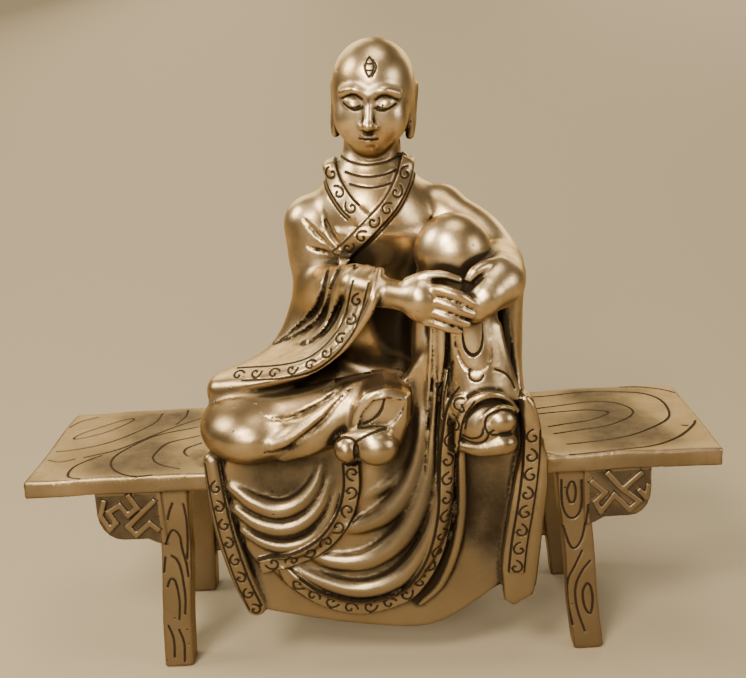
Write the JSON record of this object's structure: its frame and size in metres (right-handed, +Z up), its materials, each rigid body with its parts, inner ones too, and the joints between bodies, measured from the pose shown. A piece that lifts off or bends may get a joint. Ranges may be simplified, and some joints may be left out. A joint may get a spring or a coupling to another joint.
{
  "type": "arhat statue",
  "caption": "Small cast bronze arhat in a banded robe, seated on a long bench with one knee drawn up and both hands clasped round it.",
  "frame": {"origin": "on the ground, under the middle of the whole object's box", "axes": "+Z up; the figure faces -Y; +X along the bench, towards the raised knee"},
  "size_m": [0.252, 0.0944, 0.2277],
  "materials": {
    "polished_bronze": "hand-rubbed bronze, bright on the high places, with a dark brown patina in the hollows and fine casting pits",
    "bench_bronze": "rubbed bronze with cast wood-grain grooves and a dark brown patina"
  },
  "bodies": {
    "root": {"arhat_figure": "polished_bronze", "bench": "bench_bronze"}
  },
  "joints": []
}
